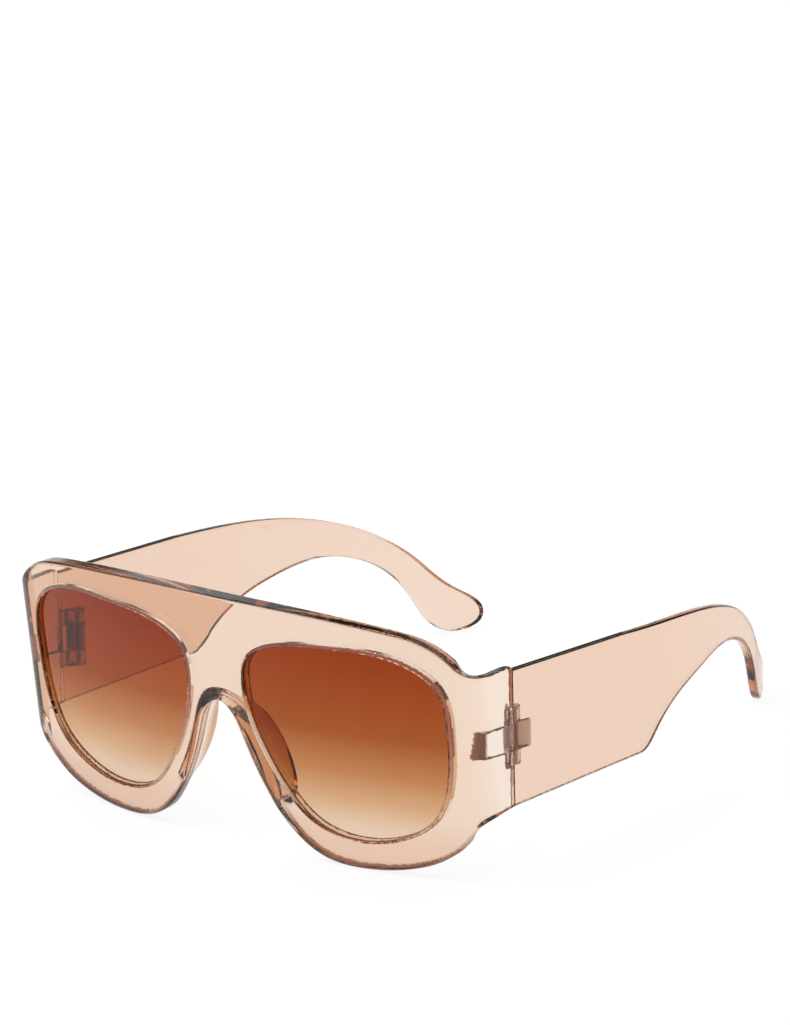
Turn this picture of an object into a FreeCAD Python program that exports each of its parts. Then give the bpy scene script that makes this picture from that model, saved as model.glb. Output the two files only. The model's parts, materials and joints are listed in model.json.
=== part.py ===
import FreeCAD
import Part
import math
import os

# Oversized flat-top sunglasses: a clear moulded front with wrap-round end pieces, two curved lenses
# held in rim grooves, two wide folding temples and the two screws of their moulded hinges.
# Millimetres. X runs to the right seen from the front, Y to the back, Z up. The pair stands open on
# its two rims and its two temple tips.

Vector = FreeCAD.Vector

SIZES = (
    # front
    ("frame_width", 146.0, "across the two end pieces"),
    ("front_radius", 282.0, "plan radius of the front face"),
    ("front_depth", 4.0, "front to back of the rims"),
    ("corner_radius", 7.0, "outer corner between front and end piece"),
    ("inner_corner_radius", 6.0, "inner corner between front and end piece"),
    ("wing_wall", 2.6, "wall of the end piece"),
    ("wing_rise", 1.5, "end piece's upper edge at the corner, above the joint's upper end"),
    ("wing_drop", 0.2, "end piece's lower edge at the corner, below the joint's lower end"),
    ("brow_drop", 5.8, "fall of the brow from the lens to the corner"),
    ("chin_rise", 8.05, "rise of the chin from its lowest point to the corner"),
    # lenses and rims
    ("lens_height", 46.8, "rim opening from top to bottom"),
    ("bridge_width", 17.8, "between the two rim openings"),
    ("side_rim", 7.7, "rim beside the opening, seen from the front"),
    ("chin_rim", 7.35, "rim below the opening"),
    ("brow_rim", 7.3, "rim above the opening"),
    ("brow_crown", 1.3, "rise of the brow from the lenses to the bridge"),
    ("lens_thickness", 2.0, "lens, front to back"),
    ("lens_set_back", 1.2, "from the front face to the lens"),
    ("groove_depth", 0.9, "how far the lens reaches into the rim"),
    ("lens_clearance", 0.05, "play of the lens in its groove"),
    # nose
    ("notch_width", 34.0, "nose notch between the rims' lower inner corners"),
    ("notch_height", 36.05, "top of the nose notch at its narrowest"),
    ("notch_crest", 1.0, "from the front face to the notch's narrowest"),
    ("notch_lead", 1.5, "how far the notch's bevel is carried past the front face"),
    ("notch_bevel", 1.2, "how much wider each side of the notch is at the front"),
    ("notch_rise", 2.2, "how much higher the notch is at the front"),
    ("notch_flare", 2.4, "how much wider each side of the notch is behind the pads"),
    ("notch_back_rise", 2.4, "how much higher the notch is behind the pads"),
    ("pad_root", 2.4, "from the front face to where the nose pad starts"),
    ("pad_reach", 5.6, "nose pad behind the rims"),
    ("pad_bottom", 12.15, "lowest point of the nose pad"),
    ("pad_top", 39.65, "highest point of the nose pad"),
    ("pad_wall", 2.6, "wall of the nose pad"),
    # temples
    ("joint_depth", 21.9, "from the front face back to the middle of the joint"),
    ("joint_level", 32.15, "middle of the joint above the rims' lowest point"),
    ("joint_height", 32.8, "end piece and temple at the joint"),
    ("joint_gap", 0.15, "between end piece and open temple"),
    ("temple_droop", 7.0, "degrees that the temple slopes down from the front's square"),
    ("temple_wall", 2.4, "wall of the temple"),
    ("temple_flat", 40.0, "flat length of the temple panel"),
    ("temple_wrap", 140.0, "radius of the temple's inward curve"),
    ("panel_length", 46.5, "lower edge of the panel up to its corner"),
    ("panel_taper", 2.4, "rise of the panel's lower edge up to its corner"),
    ("bend_reach", 84.0, "from the joint to the underside of the ear bend"),
    ("bend_height", 2.8, "underside of the ear bend above the joint's middle"),
    ("arm_height", 9.8, "height of the arm at the ear bend"),
    ("tip_reach", 116.8, "from the joint to the middle of the tip"),
    ("tip_drop", 20.4, "lowest point of the tip below the joint's middle"),
    ("tip_width", 11.0, "tip along its lower edge"),
    # hinges
    ("pivot_behind", 3.2, "hinge axis behind the joint"),
    ("knuckle_radius", 1.8, "hinge ears and tongue around the axis"),
    ("knuckle_clearance", 0.2, "between the ears and the open temple's panel"),
    ("tongue_height", 6.2, "temple tongue between the ears"),
    ("tongue_clearance", 0.1, "above and below the tongue"),
    ("tongue_lean", 37.0, "degrees between the tongue's back and the panel's square"),
    ("ear_height", 3.8, "each hinge ear along the axis"),
    ("ear_lean", 45.0, "degrees between the ears' front and the end piece's square"),
    ("pocket_length", 10.4, "moulded pocket from the joint forward"),
    ("pocket_skin", 1.2, "end piece left outside the pocket"),
    ("screw_radius", 0.7, "shank of the hinge screw"),
    ("screw_clearance", 0.04, "bores around the shank"),
    ("screw_head_radius", 1.25, "head of the hinge screw"),
    ("screw_head_height", 0.7, "head of the hinge screw along the axis"),
    ("screw_slot_width", 0.35, "driver slot across"),
    ("screw_slot_depth", 0.35, "driver slot down"),
    ("screw_recess", 0.1, "head below the upper ear's end, and shank short of the lower ear's end"),
)

# Free curves as fractions of the box named beside each, in the order in which the curve runs

# Rim opening: half its width and half its height, from its middle
LENS_SHAPE = (
    (0.72, 0.90), (0.93, 0.71), (0.995, 0.25), (0.95, -0.28), (0.81, -0.65), (0.54, -0.875),
    (0.0, -1.0), (-0.42, -0.855), (-0.68, -0.525), (-0.875, -0.12), (-0.995, 0.47),
    (-0.945, 0.72), (-0.71, 0.905), (-0.1, 1.0),
)
# Brow: from the lens's middle to the corner, and from its lowest point there up to over the lens
BROW_SHAPE = ((0.1, 0.983), (0.377, 0.845), (0.619, 0.69), (0.803, 0.49), (0.931, 0.215), (1.0, 0.0))
# Chin: from the lens's middle to the corner, and from the floor up to its end there
CHIN_SHAPE = (
    (1.0, 1.0), (0.93, 0.816), (0.86, 0.658), (0.74, 0.442), (0.58, 0.252), (0.3, 0.058), (0.04, 0.0),
    (-0.273, 0.118), (-0.45, 0.385), (-0.585, 0.745), (-0.7, 1.15), (-0.8, 1.5),
)
# Corner: quarter turn from the front to the end piece, and what is left of the brow's and the chin's ends
CORNER_SHAPE = (
    (0.0, 1.0), (0.154, 0.765), (0.333, 0.468), (0.5, 0.235), (0.667, 0.11), (0.833, 0.04), (1.0, 0.0),
)
# Notch: half its width and its height, then the shares of what it widens and rises
NOTCH_SHAPE = (
    (1.5, -0.12, 1.0, 0.0), (0.975, 0.26, 1.0, 0.0), (0.6, 0.559, 1.0, 0.0),
    (0.37, 0.814, 1.0, 0.0), (0.212, 0.95, 0.7, 1.0),
)
# Nose pad from the side: from its root to the notch's back, and its height
PAD_SHAPE = ((0.0, 0.0), (0.55, 0.06), (0.97, 0.28), (0.97, 0.6), (0.55, 0.86), (0.0, 1.0))
# Temple's upper edge over the ear: from the bend to the tip's middle, and down to the tip's lowest point
EAR_SHAPE = ((0.0, 0.006), (0.4, 0.164), (0.7, 0.382), (0.96, 0.645))
# Tip's rounded end: half its width, from the middle of its lower edge
TIP_SHAPE = ((0.91, 0.91), (0.8, 0.44), (0.22, 0.055), (-0.44, 0.02), (-0.98, 0.36))
# Temple's lower edge behind the ear: from the bend to the tip's front, and down to its lowest point
HOOK_SHAPE = ((0.853, 0.629), (0.681, 0.336), (0.33, 0.073), (0.0, 0.0))
# Temple's lower edge before the ear: from the bend forward to the panel's corner, and down to it
SWEEP_SHAPE = ((0.333, 0.135), (0.659, 0.409), (0.859, 0.737), (0.984, 0.977), (1.07, 1.006))
# Temple's upper edge between panel and bend: halfway along, and how far it has come down there
CREST_SHAPE = (0.5, 0.2)

doc = FreeCAD.newDocument("sunglasses")


def make_sheet():
    sheet = doc.addObject("Spreadsheet::Sheet", "Sizes")
    for row, (alias, value, meaning) in enumerate(SIZES, start=1):
        sheet.set(f"A{row}", meaning)
        sheet.set(f"B{row}", str(value))
        sheet.setAlias(f"B{row}", alias)
    doc.recompute()
    return sheet


sheet = make_sheet()
size = sheet.get

# Places that several pieces share
half_width = size("frame_width") / 2
wing_inner = half_width - size("wing_wall")
lens_half_width = (half_width - size("side_rim") - size("bridge_width") / 2) / 2
lens_half_height = size("lens_height") / 2
lens_centre_x = size("bridge_width") / 2 + lens_half_width
lens_centre_z = size("chin_rim") + lens_half_height
brow_over_lens = size("chin_rim") + size("lens_height") + size("brow_rim")
front_height = brow_over_lens + size("brow_crown")
panel_inner = half_width - size("temple_wall")
pivot_x = panel_inner - size("knuckle_clearance") - size("knuckle_radius")
pivot_u = size("pivot_behind")
slot_half = size("tongue_height") / 2 + size("tongue_clearance")
hinge_half = slot_half + size("ear_height")
joint_half = size("joint_height") / 2

# The hinge axis's place across the frame, as primitives read it from the sheet
PIVOT_ACROSS = (
    "Sizes.frame_width / 2 - Sizes.temple_wall - Sizes.knuckle_clearance - Sizes.knuckle_radius"
)

# How far cutting shapes reach past what they cut, widely or just clear of it
spare = 10.0
margin = 1.0

# Edges in which a long outline is laid
OUTLINE_RUNS = 4


def temple_frame():
    """Frame of the open temple: its Y runs back along the temple and its Z up the joint."""
    turn = FreeCAD.Rotation(Vector(1, 0, 0), -size("temple_droop"))
    return FreeCAD.Placement(Vector(0, size("joint_depth"), size("joint_level")), turn)


def placed(shape, placement):
    moved = shape.copy()
    moved.Placement = placement.multiply(moved.Placement)
    return moved


def mirrored(shape):
    return shape.mirror(Vector(0, 0, 0), Vector(1, 0, 0))


def line(start, end):
    return Part.LineSegment(start, end).toShape()


def curve(points, runs, closed=False):
    """One smooth curve through the points, as edges of equal runs along it."""
    spline = Part.BSplineCurve()
    spline.interpolate(Points=points, PeriodicFlag=closed)
    first = spline.FirstParameter
    step = (spline.LastParameter - first) / runs
    return [Part.Edge(spline, first + n * step, first + (n + 1) * step) for n in range(runs)]


def plan_loop(corners, level):
    """Closed line through plan corners at one level."""
    points = [Vector(x, y, level) for x, y in corners]
    return Part.makePolygon(points + points[:1])


def prism(loop, along):
    return Part.Face(loop).extrude(along)


def bar(radius, x, y, low, high):
    return Part.makeCylinder(radius, high - low, Vector(x, y, low))


def bound(kind, name, formulas):
    """Primitive whose sizes and place follow the sheet."""
    item = doc.addObject(kind, name)
    for field, formula in formulas.items():
        item.setExpression(field, formula)
    return item


def extruded(name, loop, direction, length):
    """Solid swept straight from a closed loop, as long as a formula of the sheet says."""
    outline = doc.addObject("Part::Feature", f"{name}_outline")
    outline.Shape = loop
    solid = bound("Part::Extrusion", name, {"LengthFwd": length})
    solid.Base = outline
    solid.DirMode = "Custom"
    solid.Dir = direction
    solid.Solid = True
    return solid


def joined(kind, name, shapes):
    item = doc.addObject(kind, name)
    item.Shapes = shapes
    return item


def cut(name, base, tool):
    item = doc.addObject("Part::Cut", name)
    item.Base = base
    item.Tool = tool
    return item


def mirror_of(source, name):
    """Left-hand piece that follows the right-hand one."""
    item = doc.addObject("Part::Mirroring", name)
    item.Source = source
    item.Normal = Vector(1, 0, 0)
    return item


def corner_middle(radius, side, corner):
    """Middle of the right corner's arc in plan."""
    reach = side - corner
    fall = math.sqrt((radius - corner) ** 2 - reach ** 2)
    return Vector(reach, size("front_radius") - fall, 0)


def plan_edges(radius, side, corner, end):
    """Right half of a plan line: front arc, corner arc and end piece back to y = end."""
    centre = Vector(0, size("front_radius"), 0)
    middle = corner_middle(radius, side, corner)
    outward = (middle - centre).normalize()
    meet = centre + outward * radius
    half_turn = math.atan2(outward.x, -outward.y) / 2
    on_arc = centre + Vector(math.sin(half_turn), -math.cos(half_turn), 0) * radius
    bisector = (outward + Vector(1, 0, 0)).normalize()
    beside = Vector(side, middle.y, 0)
    front = Part.Arc(centre - Vector(0, radius, 0), on_arc, meet).toShape()
    bend = Part.Arc(meet, middle + bisector * corner, beside).toShape()
    return [front, bend, line(beside, Vector(side, end, 0))]


def plan_band(end):
    """The front's wall in plan, both halves, from below the rims to above the brow."""
    outer = plan_edges(size("front_radius"), half_width, size("corner_radius"), end)
    back = size("front_radius") - size("front_depth")
    inner = plan_edges(back, wing_inner, size("inner_corner_radius"), end)
    right = outer + inner + [line(Vector(half_width, end, 0), Vector(wing_inner, end, 0))]
    edges = right + [mirrored(edge) for edge in right]
    wire = Part.Wire(Part.__sortEdges__(edges))
    return prism(wire.translated(Vector(0, 0, -spare)), Vector(0, 0, front_height + 2 * spare))


def lens_outline(grow):
    """Closed rim outline, grown all round, in a plane before the front."""
    width = lens_half_width + grow
    height = lens_half_height + grow
    points = [Vector(lens_centre_x + a * width, -spare, lens_centre_z + b * height) for a, b in LENS_SHAPE]
    return Part.Wire(curve(points, OUTLINE_RUNS, closed=True))


def lens_prism(grow):
    return prism(lens_outline(grow), Vector(0, half_width + 2 * spare, 0))


def groove():
    """Slot for the right lens all round its opening."""
    low = Vector(0, size("front_radius"), -spare)
    tall = front_height + 2 * spare
    outside = size("front_radius") - size("lens_set_back") + size("lens_clearance")
    inside = outside - size("lens_thickness") - 2 * size("lens_clearance")
    slab = Part.makeCylinder(outside, tall, low).cut(Part.makeCylinder(inside, tall, low))
    return lens_prism(size("groove_depth")).common(slab)


def front_outline(side):
    """Front seen from the front, out to its corners and closed straight across the nose."""
    reach = side - lens_centre_x
    fall = size("brow_drop")
    foot = brow_over_lens - fall
    brow = [Vector(lens_centre_x + a * reach, -spare, foot + b * fall) for a, b in BROW_SHAPE]
    chin = [Vector(lens_centre_x + a * reach, -spare, b * size("chin_rise")) for a, b in CHIN_SHAPE]
    crown = [Vector(-p.x, p.y, p.z) for p in reversed(brow)] + [Vector(0, -spare, front_height)] + brow
    nose = Vector(0, -spare, size("notch_height") / 2)
    right = [line(brow[-1], chin[0]), *curve(chin, OUTLINE_RUNS), line(chin[-1], nose)]
    edges = curve(crown, OUTLINE_RUNS) + right + [mirrored(edge) for edge in right]
    wire = Part.Wire(Part.__sortEdges__(edges))
    return prism(wire, Vector(0, size("joint_depth") + 2 * spare, 0))


def corner_sweep(middle, high, low):
    """Right corner's height, turned about the corner's middle from the front's to the end piece's."""
    inner = margin
    outer = size("corner_radius") + margin
    brow_end = brow_over_lens - size("brow_drop")
    sections = []
    for turn, left in CORNER_SHAPE:
        angle = turn * math.pi / 2
        out = Vector(math.sin(angle), -math.cos(angle), 0)
        top = Vector(0, 0, high + left * (brow_end - high))
        bottom = Vector(0, 0, low + left * (size("chin_rise") - low))
        near = middle + out * inner
        far = middle + out * outer
        corners = [near + bottom, far + bottom, far + top, near + top]
        sections.append(Part.makePolygon(corners + corners[:1]))
    return Part.makeLoft(sections, True, False)


def wing_side(middle, high, low):
    """Right end piece seen from the side, from its corner back to the joint."""
    frame = temple_frame()
    end = -size("joint_gap") / 2
    corners = [
        Vector(0, middle.y, low),
        frame.multVec(Vector(0, end, -joint_half)),
        frame.multVec(Vector(0, end, joint_half)),
        Vector(0, middle.y, high),
    ]
    wire = Part.makePolygon(corners + corners[:1]).translated(Vector(middle.x, 0, 0))
    return prism(wire, Vector(size("corner_radius") + margin, 0, 0))


def front_heights():
    """What the front keeps of its wall in plan: outline, both corners and both end pieces."""
    middle = corner_middle(size("front_radius"), half_width, size("corner_radius"))
    frame = temple_frame()
    high = frame.multVec(Vector(0, 0, joint_half)).z + size("wing_rise")
    low = frame.multVec(Vector(0, 0, -joint_half)).z - size("wing_drop")
    sides = [corner_sweep(middle, high, low), wing_side(middle, high, low)]
    return front_outline(middle.x).fuse(sides + [mirrored(shape) for shape in sides])


def notch_section(depth, wider, taller):
    """Closed arch of the nose notch in the plane y = depth."""
    across = size("notch_width") / 2
    tall = size("notch_height")
    right = [Vector(a * across + c * wider, depth, b * tall + d * taller) for a, b, c, d in NOTCH_SHAPE]
    left = [Vector(-p.x, depth, p.z) for p in reversed(right)]
    arch = curve(right + [Vector(0, depth, tall + taller)] + left, 1)
    return Part.Wire(arch + [line(left[-1], right[0])])


def notch(grow):
    """The space for the nose: wide at the face, narrowest inside the rims, flared behind."""
    sections = [
        notch_section(-size("notch_lead"), size("notch_bevel") + grow, size("notch_rise") + grow),
        notch_section(size("notch_crest"), grow, grow),
        notch_section(
            size("front_depth") + size("pad_reach"),
            size("notch_flare") + grow, size("notch_back_rise") + grow),
    ]
    return Part.makeLoft(sections, True, True)


def nose_pads():
    """Both pads: a shell round the notch, trimmed to their outline seen from the side."""
    root = size("pad_root")
    deep = size("front_depth") + size("pad_reach") - root
    tall = size("pad_top") - size("pad_bottom")
    wide = lens_centre_x
    side = [Vector(-wide, root + a * deep, size("pad_bottom") + b * tall) for a, b in PAD_SHAPE]
    wire = Part.Wire(curve(side, 1) + [line(side[-1], side[0])])
    return prism(wire, Vector(2 * wide, 0, 0)).common(notch(size("pad_wall")))


def hinge_ear():
    """Both ears of the right hinge as one block, in the temple's frame; the slot comes later."""
    radius = size("knuckle_radius")
    lean = math.radians(size("ear_lean"))
    touch_x = pivot_x - radius * math.sin(lean)
    touch_u = pivot_u - radius * math.cos(lean)
    root = half_width - size("wing_wall") / 2
    corners = (
        (touch_x, touch_u),
        (root, touch_u - (root - touch_x) * math.tan(lean)),
        (root, -size("joint_gap") / 2),
        (pivot_x + radius, -size("joint_gap") / 2),
        (pivot_x + radius, pivot_u),
        (pivot_x, pivot_u),
    )
    block = prism(plan_loop(corners, -hinge_half), Vector(0, 0, 2 * hinge_half))
    return block.fuse(bar(radius, pivot_x, pivot_u, -hinge_half, hinge_half))


def hinge_room():
    """What is moulded away at the right hinge: pocket, tongue slot, screw bore and head recess."""
    radius = size("screw_radius") + size("screw_clearance")
    head = size("screw_head_radius") + size("screw_clearance")
    seat = hinge_half - size("screw_recess") - size("screw_head_height")
    inside = pivot_x - size("knuckle_radius") - spare
    outside = half_width - size("pocket_skin")
    ends = (-size("pocket_length"), pivot_u + size("knuckle_radius") + spare)
    corners = ((inside, ends[0]), (outside, ends[0]), (outside, ends[1]), (inside, ends[1]))
    pocket = prism(plan_loop(corners, -slot_half), Vector(0, 0, 2 * slot_half))
    bore = bar(radius, pivot_x, pivot_u, -hinge_half - spare, hinge_half + spare)
    recess = bar(head, pivot_x, pivot_u, seat, hinge_half + spare)
    return pocket.fuse([bore, recess])


def front_frame():
    """Front with rims, nose pads, end pieces and hinge ears: lofts and trims in one moulding."""
    shell = plan_band(size("joint_depth") + joint_half).common(front_heights())
    shell = shell.fuse(nose_pads())
    opening = lens_prism(0)
    slot = groove()
    shell = shell.cut([notch(0), opening, mirrored(opening), slot, mirrored(slot)])
    ear = placed(hinge_ear(), temple_frame())
    room = placed(hinge_room(), temple_frame())
    shell = shell.fuse([ear, mirrored(ear)]).cut([room, mirrored(room)])
    item = doc.addObject("Part::Feature", "front_frame")
    item.Shape = shell.removeSplitter()
    return item


def right_lens():
    """Lens of the rim's outline, as curved as the front, with play in its groove."""
    blank = extruded(
        "lens_blank", lens_outline(size("groove_depth") - size("lens_clearance")),
        Vector(0, 1, 0), f"Sizes.frame_width + {spare}")
    tall = f"Sizes.chin_rim + Sizes.lens_height + Sizes.brow_rim + {spare}"
    faces = []
    for name, behind in (("lens_face", "0"), ("lens_back", "Sizes.lens_thickness")):
        faces.append(bound("Part::Cylinder", name, {
            "Radius": f"Sizes.front_radius - Sizes.lens_set_back - {behind}",
            "Height": tall,
            "Placement.Base.y": "Sizes.front_radius",
        }))
    curved = cut("lens_curve", faces[0], faces[1])
    return joined("Part::MultiCommon", "right_lens", [blank, curved])


def temple_plan():
    """Right temple in plan: flat panel, then a steady inward curve past the tip."""
    flat = size("temple_flat")
    wrap = size("temple_wrap")
    inner_wrap = wrap - size("temple_wall")
    centre = Vector(half_width - wrap, flat, -joint_half - spare)
    turn = math.asin((size("tip_reach") + size("tip_width") - flat) / wrap)
    start = Vector(half_width, size("joint_gap") / 2, centre.z)
    inner_start = start - Vector(size("temple_wall"), 0, 0)

    def at(radius, angle):
        return centre + Vector(math.cos(angle), math.sin(angle), 0) * radius

    return Part.Wire([
        line(start, at(wrap, 0)),
        Part.Arc(at(wrap, 0), at(wrap, turn / 2), at(wrap, turn)).toShape(),
        line(at(wrap, turn), at(inner_wrap, turn)),
        Part.Arc(at(inner_wrap, turn), at(inner_wrap, turn / 2), at(inner_wrap, 0)).toShape(),
        line(at(inner_wrap, 0), inner_start),
        line(inner_start, start),
    ])


def temple_side():
    """Outline of the right temple seen from the side."""
    flat = size("temple_flat")
    bend = size("bend_reach")
    under = size("bend_height")
    crown = under + size("arm_height")
    reach = size("tip_reach")
    low = -size("tip_drop")
    half_tip = size("tip_width") / 2
    corner = size("panel_length")
    corner_level = -joint_half + size("panel_taper")
    crest_at, crest_fall = CREST_SHAPE
    outline = [(flat, joint_half)]
    outline.append((flat + crest_at * (bend - flat), joint_half - crest_fall * (joint_half - crown)))
    outline += [(bend + a * (reach - bend), crown - b * (crown - low)) for a, b in EAR_SHAPE]
    outline += [(reach + a * half_tip, low + b * half_tip) for a, b in TIP_SHAPE]
    outline += [(bend + a * (reach - half_tip - bend), under - b * (under - low)) for a, b in HOOK_SHAPE]
    outline += [(bend - a * (bend - corner), under - b * (under - corner_level)) for a, b in SWEEP_SHAPE]
    points = [Vector(0, u, v) for u, v in outline]
    top = Vector(0, 0, joint_half)
    bottom = Vector(0, 0, -joint_half)
    edge = curve(points, OUTLINE_RUNS)
    return Part.Wire([line(top, points[0]), *edge, line(points[-1], bottom), line(bottom, top)])


def tongue_plan():
    """Arm of the right temple's tongue in plan, from the knuckle into the panel."""
    radius = size("knuckle_radius")
    lean = math.radians(size("tongue_lean"))
    touch_x = pivot_x - radius * math.sin(lean)
    touch_u = pivot_u + radius * math.cos(lean)
    root = half_width - size("temple_wall") / 2
    corners = (
        (pivot_x, pivot_u - radius),
        (root, pivot_u - radius),
        (root, touch_u + (root - touch_x) * math.tan(lean)),
        (touch_x, touch_u),
        (pivot_x, pivot_u),
    )
    return plan_loop(corners, -size("tongue_height") / 2)


def hinge_bar(name, radius, low, height):
    """Round bar on the right hinge's axis, in the temple's frame."""
    return bound("Part::Cylinder", name, {
        "Radius": radius,
        "Height": height,
        "Placement.Base.x": PIVOT_ACROSS,
        "Placement.Base.y": "Sizes.pivot_behind",
        "Placement.Base.z": low,
    })


def right_temple():
    """Right temple in its own frame: panel, arm and tip from plan and side, with a bored tongue."""
    plan = extruded("temple_plan", temple_plan(), Vector(0, 0, 1), f"Sizes.joint_height + 2 * {spare}")
    side = extruded("temple_side", temple_side(), Vector(1, 0, 0), f"Sizes.frame_width / 2 + {spare}")
    panel = joined("Part::MultiCommon", "temple_panel", [plan, side])
    arm = extruded("tongue_arm", tongue_plan(), Vector(0, 0, 1), "Sizes.tongue_height")
    knuckle = hinge_bar(
        "tongue_knuckle", "Sizes.knuckle_radius", "-Sizes.tongue_height / 2", "Sizes.tongue_height")
    solid = joined("Part::MultiFuse", "temple_solid", [panel, arm, knuckle])
    bore = hinge_bar(
        "tongue_bore", "Sizes.screw_radius + Sizes.screw_clearance",
        "-Sizes.tongue_height", "2 * Sizes.tongue_height")
    item = cut("right_temple", solid, bore)
    item.Refine = True
    return item


def hinge_screw():
    """Slotted screw of the right hinge, in the temple's frame."""
    half = "Sizes.tongue_height / 2 + Sizes.tongue_clearance + Sizes.ear_height - Sizes.screw_recess"
    seat = f"{half} - Sizes.screw_head_height"
    shank = hinge_bar("screw_shank", "Sizes.screw_radius", f"-({half})", f"{half} + {seat}")
    head = hinge_bar("screw_head", "Sizes.screw_head_radius", seat, "Sizes.screw_head_height")
    blank = joined("Part::MultiFuse", "screw_blank", [shank, head])
    slot = bound("Part::Box", "screw_slot", {
        "Length": "Sizes.screw_slot_width",
        "Width": "2 * Sizes.screw_head_radius",
        "Height": "Sizes.screw_slot_depth",
        "Placement.Base.x": f"{PIVOT_ACROSS} - Sizes.screw_slot_width / 2",
        "Placement.Base.y": "Sizes.pivot_behind - Sizes.screw_head_radius",
        "Placement.Base.z": f"{half} - Sizes.screw_slot_depth",
    })
    return cut("right_hinge_screw", blank, slot)


def rest_on_floor(front, temple, others):
    """Lean the open pair until rims and tips are level, on the floor and centred in depth."""
    turn = FreeCAD.Placement()
    for _ in range(4):
        rim = placed(front, turn).optimalBoundingBox().ZMin
        tip = placed(temple, turn).optimalBoundingBox().ZMin
        lean = math.degrees(math.atan2(rim - tip, size("tip_reach") + size("joint_depth")))
        step = FreeCAD.Placement(Vector(), FreeCAD.Rotation(Vector(1, 0, 0), lean))
        turn = step.multiply(turn)
    boxes = [placed(shape, turn).optimalBoundingBox() for shape in (front, temple, *others)]
    near = min(box.YMin for box in boxes)
    far = max(box.YMax for box in boxes)
    low = min(box.ZMin for box in boxes)
    return FreeCAD.Placement(Vector(0, -(near + far) / 2, -low), FreeCAD.Rotation()).multiply(turn)


def build():
    frame = temple_frame()
    front = front_frame()
    lens = right_lens()
    temple = right_temple()
    screw = hinge_screw()
    temple.Placement = frame
    screw.Placement = frame
    doc.recompute()
    rest = rest_on_floor(front.Shape, temple.Shape, (lens.Shape, screw.Shape))
    for item in (front, lens, temple, screw):
        item.Placement = rest.multiply(item.Placement)
    made = [front]
    for source in (lens, temple, screw):
        made += [source, mirror_of(source, source.Name.replace("right", "left"))]
    for item in made:
        item.Label = item.Name
    doc.recompute()
    pivot = temple.Placement.multVec(Vector(pivot_x, pivot_u, 0))
    axis = temple.Placement.Rotation.multVec(Vector(0, 0, 1))
    print("right hinge at", pivot, "along", axis)
    return made


def check(objects):
    for item in doc.Objects:
        if "Invalid" in item.State or "Error" in item.State:
            raise RuntimeError(f"{item.Label} failed to build")
    for item in objects:
        if item.Shape.isNull() or not item.Shape.isValid():
            raise RuntimeError(f"{item.Label} has no valid shape")


made = build()
check(made)
os.makedirs("parts", exist_ok=True)
for item in made:
    item.Shape.exportStep(f"parts/{item.Label}.step")
    print(item.Label, len(item.Shape.Solids), "solid", round(item.Shape.Volume, 1), "mm3")
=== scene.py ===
import json
import math

import bpy
import numpy as np
from mathutils import Matrix, Vector


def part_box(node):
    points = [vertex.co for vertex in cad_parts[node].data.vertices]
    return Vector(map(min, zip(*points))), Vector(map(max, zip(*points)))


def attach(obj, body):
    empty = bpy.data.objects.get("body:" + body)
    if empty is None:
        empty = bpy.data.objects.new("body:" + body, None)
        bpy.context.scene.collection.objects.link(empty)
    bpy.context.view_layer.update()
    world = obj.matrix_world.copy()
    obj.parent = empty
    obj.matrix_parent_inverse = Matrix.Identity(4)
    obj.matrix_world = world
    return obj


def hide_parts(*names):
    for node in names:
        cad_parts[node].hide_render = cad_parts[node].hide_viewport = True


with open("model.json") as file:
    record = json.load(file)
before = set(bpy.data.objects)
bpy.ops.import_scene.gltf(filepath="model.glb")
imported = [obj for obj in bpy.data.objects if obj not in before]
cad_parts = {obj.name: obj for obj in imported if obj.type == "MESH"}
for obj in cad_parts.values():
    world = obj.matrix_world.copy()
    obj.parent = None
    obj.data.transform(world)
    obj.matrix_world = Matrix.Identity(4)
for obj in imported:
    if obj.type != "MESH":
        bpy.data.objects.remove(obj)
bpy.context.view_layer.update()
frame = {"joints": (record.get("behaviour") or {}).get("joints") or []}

# Oversized flat-top sunglasses in clear champagne plastic, open on a white sheet.
# Shapes are worked out in millimetres in two plain frames, the upright front's and the temple's own,
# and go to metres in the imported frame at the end.

MM = 0.001

# Front
HALF_WIDTH = 73.0
FRONT_RADIUS = 282.0
FRONT_DEPTH = 4.0
CORNER_RADIUS = 7.0
INNER_CORNER_RADIUS = 6.0
WING_WALL = 2.6
WING_RISE = 1.5
WING_DROP = 0.2
BROW_TOP = 62.75
BROW_OVER_LENS = 61.45
BROW_DROP = 5.8
CHIN_RISE = 8.05
LENS_X, LENS_Z = 37.1, 30.75
LENS_HALF_WIDTH, LENS_HALF_HEIGHT = 28.2, 23.4
LENS_SET_BACK = 1.2
LENS_THICKNESS = 2.0
GROOVE_DEPTH = 0.9
PLAY = 0.05

# Nose
NOTCH_HALF = 17.0
NOTCH_HEIGHT = 36.05
NOTCH_CREST = 1.0
NOTCH_BEVEL, NOTCH_FLARE = 0.48, 0.28
NOTCH_RISE, NOTCH_BACK_RISE = 0.88, 0.28
NOTCH_SOFT = 0.6
PAD_ROOT = 2.4
PAD_BACK = 9.6
PAD_BOTTOM = 12.15
PAD_TOP = 39.65
PAD_WALL = 2.6

# Temples
JOINT_DEPTH = 21.9
JOINT_LEVEL = 32.15
JOINT_HALF = 16.4
JOINT_GAP = 0.15
DROOP = math.radians(7.0)
TEMPLE_WALL = 2.4
TEMPLE_FLAT = 40.0
TEMPLE_WRAP = 140.0

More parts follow.
